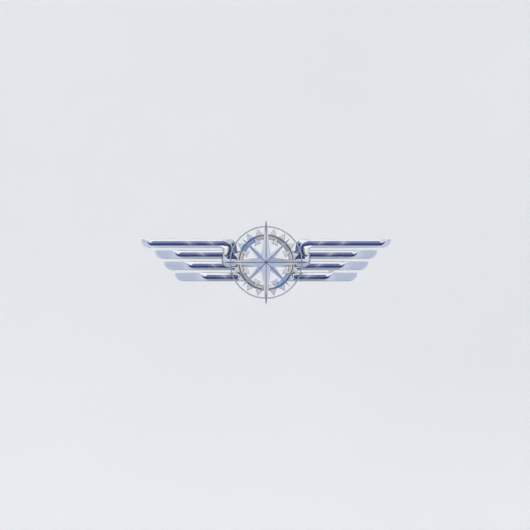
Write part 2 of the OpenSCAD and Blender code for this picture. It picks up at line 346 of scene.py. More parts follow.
def skin(flat, triangles, heights, regions):
    """The front (0) and the back (1) of a relief, joined by walls round its outline and
    wherever two regions meet. A front face is marked with its region, counted from 1."""
    bm = bmesh.new()
    made = {}

    def vertex(layer, region, index):
        key = (layer, region, index)
        if key not in made:
            made[key] = bm.verts.new(place(*flat[index], heights[layer][region][index]))
        return made[key]

    def face(corners):
        distinct = []
        for corner in corners:
            if all((corner.co - other.co).length > 1e-7 for other in distinct):
                distinct.append(corner)
        if len(distinct) > 2 and bm.faces.get(distinct) is None:
            return bm.faces.new(distinct)
        return None

    def wall(upper, lower, a, b):
        face([vertex(*upper, b), vertex(*upper, a), vertex(*lower, a), vertex(*lower, b)])

    mark = bm.faces.layers.int.new("front")
    sides_of = {}
    for (a, b, c), front, back in zip(triangles, *regions):
        front_face = face([vertex(0, front, k) for k in (a, b, c)])
        if front_face:
            front_face[mark] = front + 1
        face([vertex(1, back, k) for k in (c, b, a)])
        for edge in ((a, b), (b, c), (c, a)):
            sides_of[edge] = (front, back)
    for (a, b), (front, back) in sides_of.items():
        other = sides_of.get((b, a))
        if other is None:
            wall((0, front), (1, back), a, b)
        elif a < b:
            if front != other[0]:
                wall((0, front), (0, other[0]), a, b)
            if back != other[1]:
                wall((1, other[1]), (1, back), a, b)
    return bm


def edge_drop(outline, rounding, x, z):
    """How far a rounded edge lies below the full height, 0 away from the outline."""
    near = np.clip(distance(outline, x, z, True) / rounding, 0, 1)
    return EDGE_DROP * rounding * (1 - near) ** 2


def rounded(height, outline, rounding):
    """A height whose edge is rounded off along the outline."""
    return lambda x, z: height(x, z) - edge_drop(outline, rounding, x, z)


def fetch(items, name, kind=float, width=1):
    """One property of every vertex, corner or face, as an array."""
    values = np.zeros(len(items) * width, kind)
    items.foreach_get(name, values)
    return values.reshape(-1, width) if width > 1 else values


def corners_of(mesh, nudge):
    """x and z of each face corner in compass millimetres, moved a little into its face, and
    its face's index and normal."""
    corner = fetch(mesh.vertices, "co", width=3)[fetch(mesh.loops, "vertex_index", int)]
    sizes = fetch(mesh.polygons, "loop_total", int)
    face_of = np.repeat(np.arange(len(sizes)), sizes)
    centre = fetch(mesh.polygons, "center", width=3)[face_of]
    spot = (corner * (1 - nudge) + centre * nudge) / MM
    normal = fetch(mesh.polygons, "normal", width=3)[face_of]
    return spot[:, 0], spot[:, 2] - CENTRE_Z, face_of, normal


def shade_front(piece, surfaces, sign=1):
    """Gives the front the exact normals of its height functions. sign is -1 on the left."""
    mesh = piece.data
    x, z, face_of, _ = corners_of(mesh, 0.04)
    x = x * sign
    region = fetch(mesh.attributes["front"].data, "value", int)[face_of]
    normals = np.zeros((len(x), 3))
    step = 0.003
    for k, height in enumerate(surfaces, 1):
        at = region == k
        if not at.any():
            continue
        px, pz = x[at], z[at]
        slope_x = (height(px + step, pz) - height(px - step, pz)) / (2 * step)
        slope_z = (height(px, pz + step) - height(px, pz - step)) / (2 * step)
        found = np.stack([-slope_x * sign, -np.ones(len(px)), -slope_z], axis=1)
        normals[at] = found / np.linalg.norm(found, axis=1)[:, None]
    mesh.normals_split_custom_set(normals.tolist())


def mirrored(piece, name):
    """A copy on the other wing."""
    mesh = piece.data.copy()
    mesh.name = name
    for v in mesh.vertices:
        v.co.x = -v.co.x
    mesh.flip_normals()
    copy = bpy.data.objects.new(name, mesh)
    bpy.context.scene.collection.objects.link(copy)
    shade_front(copy, SURFACES[piece.name], -1)
    return copy


def bridge(bm, here, there):
    """Faces between two rings of vertices."""
    for k in range(len(here)):
        n = (k + 1) % len(here)
        bm.faces.new((here[k], here[n], there[n], there[k]))


def fan(bm, ring, tip):
    """Triangles from a ring of vertices to one vertex."""
    for k in range(len(ring)):
        bm.faces.new((ring[k], ring[(k + 1) % len(ring)], tip))


def lathe(bm, profile, centre, axis="y", segments=128):
    """Turns a closed profile of (radius, distance along the axis) about a line along y or z
    through centre. A depth counts forwards along -Y. Everything is in millimetres."""
    rings = []
    for r, along in profile:
        ring = []
        for k in range(segments if r > 0 else 1):
            a = 2 * math.pi * k / segments
            s, c = r * math.sin(a), r * math.cos(a)
            if axis == "y":
                spot = Vector((centre[0] + s, -along, centre[2] + c))
            else:
                spot = Vector((centre[0] + s, centre[1] + c, centre[2] + along))
            ring.append(bm.verts.new(spot * MM))
        rings.append(ring)
    for here, there in zip(rings, rings[1:] + rings[:1]):
        if len(here) == len(there) > 1:
            bridge(bm, here, there)
        elif len(here) > 1:
            fan(bm, here, there[0])
        elif len(there) > 1:
            fan(bm, there, here[0])


def set_material(piece, material):
    piece.data.materials.clear()
    piece.data.materials.append(material)


def hand_over(piece, node, material, body="badge"):
    """The piece stands for a CAD node: it takes the material, rides on its body, and the node is
    hidden.
    """
    set_material(piece, material)
    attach(piece, body)
    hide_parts(node)


# --- Materials ---

WHITE = srgb(240, 241, 244)
CREAM = srgb(228, 227, 222)
BULGE_HIGHLIGHT = srgb(226, 225, 220)
LOBE_GREY = srgb(186, 190, 198)
PEARL = srgb(200, 204, 215)
LAVENDER = srgb(168, 176, 194)
SKY = srgb(160, 178, 218)
BLUE_GREY = srgb(120, 138, 172)
SHADOW = srgb(84, 98, 132)
SLATE = srgb(50, 60, 88)
BACK_GREY = srgb(196, 199, 206)
MOTE_GREY = srgb(150, 160, 190)
BACKWARDS = 0.3
TARNISH = 0.5


class Surface:
    """A material with its shader, and short ways to add nodes to it. A value is a fixed one
    or another node's socket."""

    def __init__(self, name, metallic=0):
        self.material = bpy.data.materials.new(name)
        self.material.use_nodes = True
        self.nodes = self.material.node_tree.nodes
        self.put("Metallic", metallic)

    def put(self, name, value, node=None):
        """Sets an input by its name or number: the shader's, unless a node is given."""
        socket = (node or self.nodes["Principled BSDF"]).inputs[name]
        if isinstance(value, bpy.types.NodeSocket):
            self.material.node_tree.links.new(value, socket)
        elif socket.type == "RGBA":
            socket.default_value = (*value, 1)
        else:
            socket.default_value = value

    def add(self, kind, inputs):
        node = self.nodes.new(kind)
        for name, value in inputs.items():
            self.put(name, value, node)
        return node

    def noise(self, scale, detail=3, stretch=None):
        """Noise in object coordinates. Its scale is in features per metre."""
        spot = self.nodes.new("ShaderNodeTexCoord").outputs["Object"]
        if stretch:
            mapping = self.add("ShaderNodeMapping", {"Vector": spot, "Scale": stretch})
            spot = mapping.outputs["Vector"]
        inputs = {"Vector": spot, "Scale": scale, "Detail": detail}
        return self.add("ShaderNodeTexNoise", inputs).outputs["Fac"]

    def tint(self):
        """The painted corner attribute: its colour, and its polish in Alpha."""
        node = self.nodes.new("ShaderNodeAttribute")
        node.attribute_name = "tint"
        return node.outputs

    def spread(self, value, low=0, high=1, given=(0.3, 0.7)):
        """A value stretched from its given range, which is that of most noise, to another."""
        inputs = {
            "Value": value, "From Min": given[0], "From Max": given[1],
            "To Min": low, "To Max": high,
        }
        return self.add("ShaderNodeMapRange", inputs).outputs["Result"]

    def mix(self, factor, a, b):
        """A mix of two colours."""
        node = self.nodes.new("ShaderNodeMix")
        node.data_type = "RGBA"
        for number, value in ((0, factor), (6, a), (7, b)):
            self.put(number, value, node)
        return node.outputs[2]

    def bump(self, height, strength, depth):
        inputs = {"Height": height, "Strength": strength, "Distance": depth}
        self.put("Normal", self.add("ShaderNodeBump", inputs).outputs["Normal"])


def painted_silver(name, polished, brush=(5200, 5200, 5200), brush_depth=1e-6):
    """Silver that takes its colour and polish from the tint attribute, with faint clouds,
    fine polishing lines and a soft tarnish where the polish is low."""
    surface = Surface(name, 1)
    tint = surface.tint()
    cooler = surface.mix(0.07, tint["Color"], SKY * 0.8)
    tone = surface.spread(surface.noise(260))
    surface.put("Base Color", surface.mix(tone, cooler, tint["Color"]))
    lines = surface.noise(1, 2, brush)
    worn = surface.spread(lines, polished - 0.03, polished + 0.05)
    surface.put("Roughness", surface.spread(tint["Alpha"], TARNISH, worn, (0, 1)))
    surface.bump(lines, 0.25, brush_depth)
    return surface.material


def plain_metal(name, light, dark, roughness, scale, stretch=None):
    """Nickel or steel, in two tones, with a grain."""
    surface = Surface(name, 1)
    surface.put("Base Color", surface.mix(surface.spread(surface.noise(350, 4)), dark, light))
    grain = surface.noise(scale, 3, stretch)
    surface.put("Roughness", surface.spread(grain, roughness - 0.06, roughness + 0.1))
    surface.bump(grain, 0.4, 5e-6)
    return surface.material


def enamel_material():
    """Glossy navy enamel. Its colour, with painted reflections and a painted highlight, is in the
    tint attribute.
    """
    surface = Surface("navy_enamel")
    motes = surface.noise(1500)
    faint = surface.spread(motes, 0, 0.04)
    surface.put("Base Color", surface.mix(faint, surface.tint()["Color"], MOTE_GREY))
    surface.put("Roughness", surface.spread(motes, 0.06, 0.14))
    surface.put("Specular IOR Level", 0.3)
    surface.bump(surface.noise(700, 1), 0.15, 1.5e-5)
    return surface.material


def backdrop_material():
    surface = Surface("backdrop")
    tone = surface.spread(surface.noise(3, 2))
    surface.put("Base Color", surface.mix(tone, srgb(248, 249, 250), srgb(252, 252, 252)))
    surface.put("Roughness", 0.9)
    surface.put("Specular IOR Level", 0.1)
    return surface.material


def add_world():
    world = bpy.data.worlds.new("studio")
    world.use_nodes = True
    background = world.node_tree.nodes["Background"]
    background.inputs["Color"].default_value = (0.93, 0.95, 1, 1)
    background.inputs["Strength"].default_value = 0.8
    bpy.context.scene.world = world
    bpy.context.scene.view_settings.view_transform = "Standard"


def add_backdrop(material):
    """A round seamless backdrop: a floor that curves up into a low wall."""
    floor, flat_r, bend_r, wall, sides = -260, 900, 450, 1500, 72
    profile = [
        (flat_r + bend_r * math.sin(a), floor + bend_r * (1 - math.cos(a)))
        for a in np.radians(np.arange(0, 91, 10))
    ]
    profile.append((flat_r + bend_r, wall))
    bm = bmesh.new()
    turns = np.arange(sides) * 2 * math.pi / sides
    rows = [
        [bm.verts.new(Vector((r * math.sin(a), r * math.cos(a), z)) * MM) for a in turns]
        for r, z in profile
    ]
    fan(bm, rows[0], bm.verts.new(Vector((0, 0, floor)) * MM))
    for low, high in zip(rows, rows[1:]):
        bridge(bm, low, high)
    backdrop = finish_mesh("backdrop", bm, sharp_angle=60)
    set_material(backdrop, material)


# --- Feathers ---

FEATHERS = (1, 2, 3, 4)
blade_low, blade_high = box_mm("right_feather_3")
HALF = (blade_high.z - blade_low.z) / 2
BACK = -blade_high.y
MOULDING = -blade_low.y
BLADE = MOULDING - 0.5
STRIPE_HALF = 0.65
BEVEL_FOOT = 0.71
ROOT_R = 8.66
MOULDING_REACH = 0.81
FOURTH_START = 8.55
HIDDEN_ROOTS = {2: 9.3}
POCKET_DEPTH = 0.26


def feather_centre(i):
    return box_mm(f"right_feather_{i}")[1].z - CENTRE_Z - HALF


def feather_tip(i):
    return box_mm(f"right_feather_{i}")[1].x


TOP_CENTRE = feather_centre(1)
TOP_EDGE = TOP_CENTRE + HALF
TOP_FOOT = TOP_CENTRE - HALF


def moulding_end(i):
    return box_mm(f"right_inlay_{i}")[1].x + MOULDING_REACH


def tip_path(i):
    """From the lower edge round the feather's tip to the upper edge."""
    tip, top = feather_tip(i), feather_centre(i) + HALF
    r, corner = 2 * HALF - 0.16, 0.16
    return arc(tip - r, top - corner, r, -90, 0, 16) + arc(
        tip - corner, top - corner, corner, 25, 90, 3
    )


def bar_height(i):
    """Height of a feather's moulding: two bevels and the chiselled outer end."""
    centre, end = feather_centre(i), moulding_end(i)

    def height(x, z):
        w, u = z - centre, x - end
        rise = MOULDING - BLADE
        upper = BLADE + rise * (HALF - w) / (HALF - BEVEL_FOOT)
        lower = BLADE + rise * (HALF + w) / (HALF - BEVEL_FOOT)
        tip_upper = MOULDING - 0.166 * (u + 2.1) - 0.18 * (w - 0.65)
        tip_lower = MOULDING - 0.395 * (u + 1.45) + 0.3265 * (w - 0.05)
        top = np.full(np.shape(x), MOULDING)
        for plane in (upper, lower, tip_upper, tip_lower):
            top = smooth_min(top, plane, 0.03)
        return top

    return height


def blade_height(i):
    centre = feather_centre(i)
    return lambda x, z: BLADE - 0.03 * ((z - centre) / HALF) ** 2


def feather_height(i):
    bar, blade = bar_height(i), blade_height(i)

    def height(x, z):
        top = bar(x, z)
        if i == 4:
            top = smooth_min(top, BLADE + 0.9 * (x - 7.35), 0.03)
        return smooth_max(top, blade(x, z), 0.02)

    return height


def outer_hook(i):
    """The pocket's outer end, from its lower edge to its upper edge: a hook that tapers
    upwards along the chiselled end."""
    centre, end = feather_centre(i), moulding_end(i)
    lower = spline([(-2.1, -0.65), (-1.6, -0.63), (-1.12, -0.42), (-0.67, -0.02), (-0.24, 0.57)], 4)
    upper = spline([(-0.24, 0.57), (-0.9, 0.34), (-1.45, 0.08)], 4)
    path = [*lower, *upper[1:], (-2.1, 0.65)]
    return [(end + u, centre + w) for u, w in path]


def straight_pocket(i, gap):
    """Outline of the enamel's pocket in feathers 2 to 4. Feather 4's has a round inner end,
    and the others start at the scroll's edge plus a gap."""
    centre = feather_centre(i)
    if i == 4:
        inner = [(0.1, 0.65), (-0.22, 0.3), (-0.2, -0.05), (0.1, -0.42), (0.55, -0.65)]
        start = [(FOURTH_START + u, centre + w) for u, w in inner]
    else:
        levels = centre + np.linspace(STRIPE_HALF, -STRIPE_HALF, 7)
        start = [(scroll_edge(z) + gap, z) for z in levels]
    return start + outer_hook(i)


def lowered(height, amount):
    return lambda x, z: height(x, z) - amount


def level(depth):
    return lambda x, z: np.full(np.shape(x), depth)


def moulding_creases(i, start):
    """The long creases of the moulding, and those of its chiselled end."""
    centre, end = feather_centre(i), moulding_end(i)
    paths = []
    for side in (-1, 1):
        reach = -2 if side > 0 else -1.95
        for w in (BEVEL_FOOT - 0.03, BEVEL_FOOT + 0.04):
            paths.append([(start, centre + side * w), (end + reach, centre + side * w)])
    paths.append([(end + 0.28, centre + 0.6), (end - 1.3, centre - HALF + 0.12)])
    paths.append([(end + 0.34, centre + 0.6), (end - 1.24, centre - HALF + 0.12)])
    paths.append([(end + 0.28, centre + 0.6), (end + 0.2, centre + HALF - 0.12)])
    return paths


# Painted light: the upper bevel's highlight and its greyer top edge, the lower bevel's painted
# reflection and shade with its rim, and painted shade on the walls.
HIGHLIGHT_SILVER = srgb(218, 220, 224)
HIGH_RIM = srgb(190, 194, 204)
LOW_BLUE = srgb(158, 168, 196)
LOW_RIM = srgb(150, 156, 170)
WALL_BLUE = srgb(150, 158, 182)
# How strong each feather's painted highlight on the upper bevel is, and how dark the painted shade
# on its lower bevel.
UPPER_HIGHLIGHT_TONE = {1: 0.88, 2: 0.96, 3: 1, 4: 1}
LOWER_SHADE_TONE = {1: 0.96, 2: 0.75, 3: 0.68, 4: 0.55}


def feather_paint(i):
    """White upper bevels and a paler rim round the lavender tips, both painted highlights, and
    lower bevels that turn cream at the edge, painted reflection and shade. The walls get painted
    shade."""
    centre, end = feather_centre(i), moulding_end(i)
    rim_path = tip_path(i)

    def paint(x, z, normal):
        w, u = z - centre, x - end
        front = -normal[:, 1]
        up, out = normal[:, 2], normal[:, 0]
        colour = mix(LAVENDER, PEARL, smoothstep(2.2, -0.4, u) * 0.5)
        # Painted highlight: a paler rim round the tip.
        rim = smoothstep(0.6, 0.2, distance(rim_path, x, z))
        colour = mix(colour, PEARL, rim * 0.3)
        # The lower bevels face down: painted reflection in blue that turns cream towards the edge,
        # and painted shade, darker on the lower feathers.
        low = mix(LOW_BLUE, CREAM, smoothstep(-0.72, -1.02, w))
        low = mix(low, LOW_RIM, smoothstep(-1.2, -1.36, w)) * LOWER_SHADE_TONE[i]
        colour = mix(colour, low, smoothstep(-0.1, -0.35, up) * (out < 0.2))
        # Painted light on the chiselled end's facets that face outwards and down.
        colour = mix(colour, PEARL, (out > 0.2) & (up < 0))
        # Painted highlight: the upward-facing upper bevel is near white, greyer at its top edge.
        high = mix(HIGHLIGHT_SILVER, HIGH_RIM, smoothstep(1.2, 1.36, w))
        colour = mix(colour, high * UPPER_HIGHLIGHT_TONE[i], smoothstep(0.08, 0.16, up))
        # Painted highlight in white on the upper side of the band along the pocket, pearl on the
        # lower side.
        lip = (np.abs(up) < 0.2) & (np.abs(w) < 0.78) & (u < -1.9)
        colour = mix(colour, np.where(w[:, None] > 0, WHITE, PEARL), lip)
        # Painted shade on the walls.
        colour = mix(colour, WALL_BLUE, front < 0.35)
        return with_polish(colour, np.where(front < -BACKWARDS, 0.4, 1.0))

    return paint


def straight_feather(i):
    top = feather_centre(i) + HALF
    bottom = top - 2 * HALF
    height = feather_height(i)
    root = [
        (max(math.sqrt(ROOT_R**2 - z**2), HIDDEN_ROOTS.get(i, 0)), z)
        for z in np.linspace(top, bottom, 9)
    ]
    outline = root + [(feather_tip(i) - 2 * HALF, bottom)] + tip_path(i)
    end = moulding_end(i)
    fronts = [(None, height), (straight_pocket(i, -0.4), lowered(height, POCKET_DEPTH))]
    if i < 4:
        fronts.append((scroll_space(), blade_height(i)))
    return relief(
        f"feather_right_{i}",
        outline,
        fronts,
        [(None, level(BACK))],
        moulding_creases(i, 9.2),
        [
            (6, feather_tip(i), bottom, top, 0.5),
            (end - 2.4, end + 0.6, bottom, top, 0.2),
        ],
    )


# --- The top feather and its scroll ---

TAIL = spline([
    (14.2, TOP_CENTRE, 0.65), (13.4, TOP_CENTRE, 0.65), (12.75, TOP_CENTRE - 0.03, 0.62),
    (12.2, TOP_CENTRE - 0.16, 0.52), (11.55, 5.36, 0.37), (11.1, 4.9, 0.27), (10.93, 4.27, 0.22),
    (10.92, 3.6, 0.21), (11.02, 2.95, 0.2), (11.32, 2.38, 0.19), (11.75, 1.98, 0.17),
    (12.2, 1.93, 0.14), (12.62, 2.24, 0.04),
], 4)
WINDOW = [
    (8.95, 1.12), (10.2, 1.2), (11.45, 1.18), (11.85, 1.5), (11.5, 1.86), (11.05, 2.2),
    (10.78, 2.62), (10.35, 2.85), (9.7, 2.4), (9.05, 2.05),
]
SCROLL_RIGHT = spline([
    (13.85, TOP_FOOT), (13.4, 4.3), (13.16, 3.88), (13.08, 2.95), (13.42, 1.9), (13.62, 0.79),
    (13.4, -0.17), (12.82, -1.02), (11.97, -1.45), (11.1, -1.56), (9.84, -1.46), (8.78, -1.3),
], 5)
SCROLL_LEFT = spline([
    (8.78, -1.3), (8.74, 0), (8.76, 2), (8.92, 4), (9.14, 5.5), (9.45, 6.1), (9.87, 6.55),
], 4)
SCROLL_BASE = 4.38
SCROLL_TOP = 4.73
BULGE_TOP = 5.04
SCROLL_FALL = SCROLL_RIGHT[6:]
SCROLL_SHADED = SCROLL_RIGHT[14:]
LOBE_EDGE = [(9.7, 6.62), (10.2, 6.22), (10.9, 5.8)]
EYE = (10.05, 5.38)


def scroll_edge(z):
    """Where the scroll's right edge is at a height, down to its lowest point."""
    side = SCROLL_RIGHT[: np.argmin(SCROLL_RIGHT[:, 1]) + 1]
    return np.interp(z, side[::-1, 1], side[::-1, 0])


def scroll_space():
    """The part of feathers 2 and 3 that lies under the scroll."""
    return inset([*SCROLL_RIGHT, (5, -1.3), (5, TOP_FOOT)], -0.03)


def top_pocket():
    """The top feather's stripe and the tail that winds round the bulge, in one outline."""
    first, second = ribbon(TAIL)
    return [*second, *first[::-1], *outer_hook(1)]


def bulge_weight(x, z):
    reach = np.hypot((x - 12.15) / 1.25, (z - 3.6) / 1.75)
    return smoothstep(1.3, 0.6, reach)


def eye_reach(x, z):
    """Distance from the middle of the small oval dimple, 1 at its rim."""
    return np.hypot((x - EYE[0]) / 0.34, (z - EYE[1]) / 0.5)


def ramp(path, x, z, width, closed=False):
    """Rises from 0 at a path to 1 at the given width beside it; 0 inside a closed one."""
    t = np.clip(distance(path, x, z, closed) / width, 0, 1)
    if closed:
        t = np.where(inside(path, x, z), 0, t)
    return t * (2 - t)


def bar_and_lobe(x, z):
    """The top feather's moulding, whose upper bevel ends in a lobe at the root."""
    lobe = -0.338 * (x - 12.82) + 0.941 * (z - TOP_CENTRE - 0.6)
    lobe = MOULDING - 0.295 * np.maximum(lobe, 0)
    straight = smooth_max(bar_height(1)(x, z), blade_height(1)(x, z), 0.02)
    return smooth_min(straight, lobe) + (straight - smooth_min(straight, lobe)) * smoothstep(
        12.8, 14, x
    )


def scroll_height():
    """A cushion that falls to the tail, the window and the scroll's edges. It is fuller at
    the bulge, and the strip beside the tail leans to the left with a dimple in it."""
    pocket = top_pocket()

    def height(x, z):
        bulge = bulge_weight(x, z)
        cushion = ramp(pocket, x, z, 0.6 + 0.35 * bulge, True) * ramp(WINDOW, x, z, 0.35, True)
        cushion = cushion * ramp(SCROLL_FALL, x, z, 0.8) * ramp(SCROLL_LEFT, x, z, 0.35)
        rise = SCROLL_TOP - SCROLL_BASE + (BULGE_TOP - SCROLL_TOP) * bulge
        strip = smoothstep(11.0, 10.6, x) * smoothstep(2.0, 3.4, z)
        lean = 0.22 * np.clip(10.9 - x, 0, 1.5) * strip
        dimple = 0.14 * np.exp(-eye_reach(x, z) ** 2 * 1.4)
        scroll = SCROLL_BASE + rise * cushion - lean - dimple
        straight = bar_and_lobe(x, z)
        return straight + (scroll - straight) * smoothstep(14.1, 13.0, x)

    return height


def pocket_top(x, z):
    """The level round the top feather's pocket: the moulding's, sinking to the scroll's."""
    straight = bar_and_lobe(x, z)
    return straight + (SCROLL_BASE - straight) * smoothstep(13.9, 12.6, x)


def scroll_region():
    """Where the top feather's front is the scroll's own. Its upper border is hidden under
    the enamel up to the lobe's point, and then follows the lobe's edge."""
    return [
        (14.2, TOP_CENTRE), (12.2, TOP_CENTRE - 0.16), (11.55, 5.36), *reversed(LOBE_EDGE),
        (5, LOBE_EDGE[0][1]), (5, -3),
        (14.2, -3),
    ]


def top_feather_paint():
    bar_paint = feather_paint(1)

    def paint(x, z, normal):
        values = bar_paint(x, z, normal)
        colour = values[:, :3]
        front = -normal[:, 1] > 0.3
        scroll = front & inside(scroll_region(), x, z) & (x < 14.1)
        lobe = front & ~scroll & (x < 13.4) & (z > TOP_CENTRE - 0.15)
        bulge = bulge_weight(x, z)
        body = mix(LAVENDER, PEARL, smoothstep(-1.5, 1.6, z) * 0.6)
        # Painted shade: the strip beside the tail, which leans to the left, is blue-grey and
        # darkens to the left.
        strip = smoothstep(11.0, 10.5, x) * smoothstep(1.9, 3.2, z)
        body = mix(body, mix(BLUE_GREY, SHADOW, smoothstep(10.4, 9.3, x)), strip)
        # The dimple: painted shade in slate inside it, and a painted highlight on its lavender rim.
        eye = eye_reach(x, z)
        body = mix(body, LAVENDER, smoothstep(1.75, 1.25, eye) * (z > 4.6))
        body = mix(body, SLATE, smoothstep(1.05, 0.75, eye))
        # Painted highlight: the bulge is cream, more so where it faces right.
        body = mix(body, BULGE_HIGHLIGHT, bulge * 0.9)
        body = mix(body, CREAM, smoothstep(0.1, 0.5, normal[:, 0]) * bulge * 0.4)
        # Painted highlight in white at the scroll's upper right.
        edge_highlight = smoothstep(12.4, 13.3, x) * smoothstep(4.0, 4.9, z)
        body = mix(body, mix(WHITE, colour, smoothstep(13.2, 14.0, x)), edge_highlight)
        colour = mix(colour, body, scroll)
        colour = mix(colour, LOBE_GREY, lobe)
        # Painted shade in blue-grey along the scroll's lower edge.
        edge = distance(SCROLL_SHADED, x, z)
        colour = mix(colour, BLUE_GREY, smoothstep(0.22, 0.04, edge) * scroll * 0.6)
        # Painted shade in slate on the low wall along the lobe's edge.
        step = (distance(LOBE_EDGE, x, z) < 0.1) & (np.abs(normal[:, 1]) < 0.35)
        colour = mix(colour, SLATE, step)
        return with_polish(colour, values[:, 3])

    return paint


def top_feather():
    scroll = scroll_height()
    end = moulding_end(1)
    outline = [
        *SCROLL_RIGHT, *SCROLL_LEFT[1:], (10.35, TOP_EDGE - 0.08), (10.48, TOP_EDGE),
        *reversed(tip_path(1)), (feather_tip(1) - 2 * HALF, TOP_FOOT),
    ]
    under = [(5, -3), (14.5, -3), (14.5, TOP_FOOT - 1e-4), (5, TOP_FOOT - 1e-4)]
    pocket = top_pocket()
    tail = pocket[: len(TAIL) * 2]
    return relief(
        "feather_right_1",
        outline,
        [
            (None, bar_and_lobe),
            (scroll_region(), scroll),
            (WINDOW, lowered(scroll, POCKET_DEPTH)),
            (pocket, lowered(pocket_top, POCKET_DEPTH)),
        ],
        [(None, level(BACK)), (under, level(BLADE + 0.02))],
        moulding_creases(1, 14.3) + [inset(tail, -reach) for reach in (0.15, 0.35)],
        [
            (14, feather_tip(1), TOP_FOOT, TOP_EDGE, 0.5),
            (end - 2.4, end + 0.6, TOP_FOOT, TOP_EDGE, 0.2),
            (8.6, 14.3, -1.6, 7.3, 0.12),
        ],
        step=0.25,
    )


# --- Enamel ---

NAVY = srgb(32, 56, 122)
NAVY_DARK = srgb(14, 34, 84)
NAVY_LIGHT = srgb(119, 134, 180)
# Colours of the painted reflection patches and of the painted lilac highlight on the enamel.
REFLECTION_GREY = srgb(190, 190, 196)
FLAME_HIGHLIGHT = srgb(140, 140, 190)
TAIL_END_BLUE = srgb(58, 80, 124)
# Middle x and width of each patch of painted reflection on a feather's enamel.
REFLECTION_PATCHES = {
    1: [(16.6, 2.6), (23.3, 2.6)],
    2: [(19.4, 2.3)],
    3: [(15.9, 2.0)],
    4: [(12.6, 3.0)],
}


def enamel_paint(i):
    """Dark navy below, with a lighter band above the middle and soft cream-grey patches, both
    painted reflection.
    The top feather's tail is darker, with a painted lilac highlight at its bend."""
    centre = feather_centre(i)

    def paint(x, z, normal):
        w = z - centre
        # Painted reflection: a lighter band above the middle.
        band = smoothstep(-0.08, 0.18, w) * (1 - 0.55 * smoothstep(0.34, 0.58, w))
        colour = mix(NAVY_DARK, NAVY, smoothstep(-0.35, -0.62, w) * 0.5 + 0.15)
        colour = mix(colour, NAVY_LIGHT, band * 0.85)
        # Patches of painted reflection in cream-grey, strongest on the band.
        for middle, width in REFLECTION_PATCHES[i]:
            slant = x - middle - 0.9 * w
            reflection_patch = np.exp(-((slant / (0.5 * width)) ** 2))
            ripple = 0.75 + 0.25 * np.cos(slant * 4.2 / width * 2)
            strength = reflection_patch * ripple * (0.28 + 0.62 * band)
            colour = mix(colour, REFLECTION_GREY, strength)
        if i == 1:
            colour = mix(colour, NAVY_DARK, smoothstep(12.9, 11.9, x) * 0.9)
            # A painted highlight in lilac at the tail's bend.
            along, across = x - 12.1, w + 0.05 - 0.35 * (x - 12.1)
            flame_highlight = np.exp(-((along / 0.55) ** 2) - (across / 0.16) ** 2)
            colour = mix(colour, FLAME_HIGHLIGHT, flame_highlight * 0.9)
            window = (z < 2.95) & (x < 11.95)
            colour = mix(colour, TAIL_END_BLUE, window * smoothstep(12.7, 12.1, x + z))
        return with_polish(colour, 1.0)

    return paint


def enamel(name, i, outline, height, grids):
    """Enamel in a pocket, just below the metal's lip, with a rounded edge."""
    centre, end = feather_centre(i), moulding_end(i)
    start = min(p[0] for p in outline)
    bands = [
        [(max(start, 13) + 0.4, centre + w), (end - 2.3, centre + w)]
        for w in (-0.35, -0.15, 0.05, 0.2, 0.35)
    ]
    piece = relief(
        name,
        outline,
        [(None, lowered(height, 0.02))],
        [(None, lowered(height, POCKET_DEPTH - 0.02))],
        [] if outline is WINDOW else bands,
        grids,
        rounding=0.12,
        step=0.3,
    )
    return paint_corners(piece, enamel_paint(i))


# --- Compass ---

QUARTERS = (0, 90, 180, 270)
SPIKE_ANGLES = (14.2, 33.7, 56.6, 76)
POINTER_ANGLES = (24.5, 66)
COMPASS = (0, 0, CENTRE_Z)
BEZEL_FRONT = -box_mm("compass_bezel")[0].y
# Each point's base radius, half-width, apex radius and the hollow of its sides.
SPIKE = (8.3, 1.26, 10.45, 0.08)
POINTER = (5.93, 1.16, 8.3, 0.05)
SPIKE_BACK = 4.8
SPIKE_BAND = [(7.37, SPIKE_BACK), (8.48, SPIKE_BACK), (8.48, 5.08), (7.37, 5.08)]
SPIKE_EDGE = 4.98
POINTER_EDGE = 5.66
LIP_RISE = 0.06
LIP_INSET = 0.08
SUMMIT_RISE = 0.13
BLUE_ANGLE = 40
BEZEL_UPRIGHT = srgb(178, 177, 176)
BEZEL_SIDE = srgb(194, 192, 189)
BEZEL_BETWEEN = srgb(154, 156, 160)
BEZEL_BLUE = srgb(130, 147, 184)
RING_GREY = srgb(168, 168, 169)
RING_BLUE = srgb(152, 161, 184)
POINT_CREAM = srgb(194, 193, 194)
POINT_BLUE = srgb(168, 182, 208)


def turned_ring(name, profile, paint):
    bm = bmesh.new()
    lathe(bm, profile, COMPASS, segments=192)
    return paint_corners(finish_mesh(name, bm, sharp_angle=30), paint)


def blue_side(x, z):
    """1 at the upper left and lower right of the compass, where blue is painted in as a reflection.
    """
    angle = np.degrees(np.arctan2(x, z))
    return smoothstep(32, 10, np.abs((angle + BLUE_ANGLE + 90) % 180 - 90))


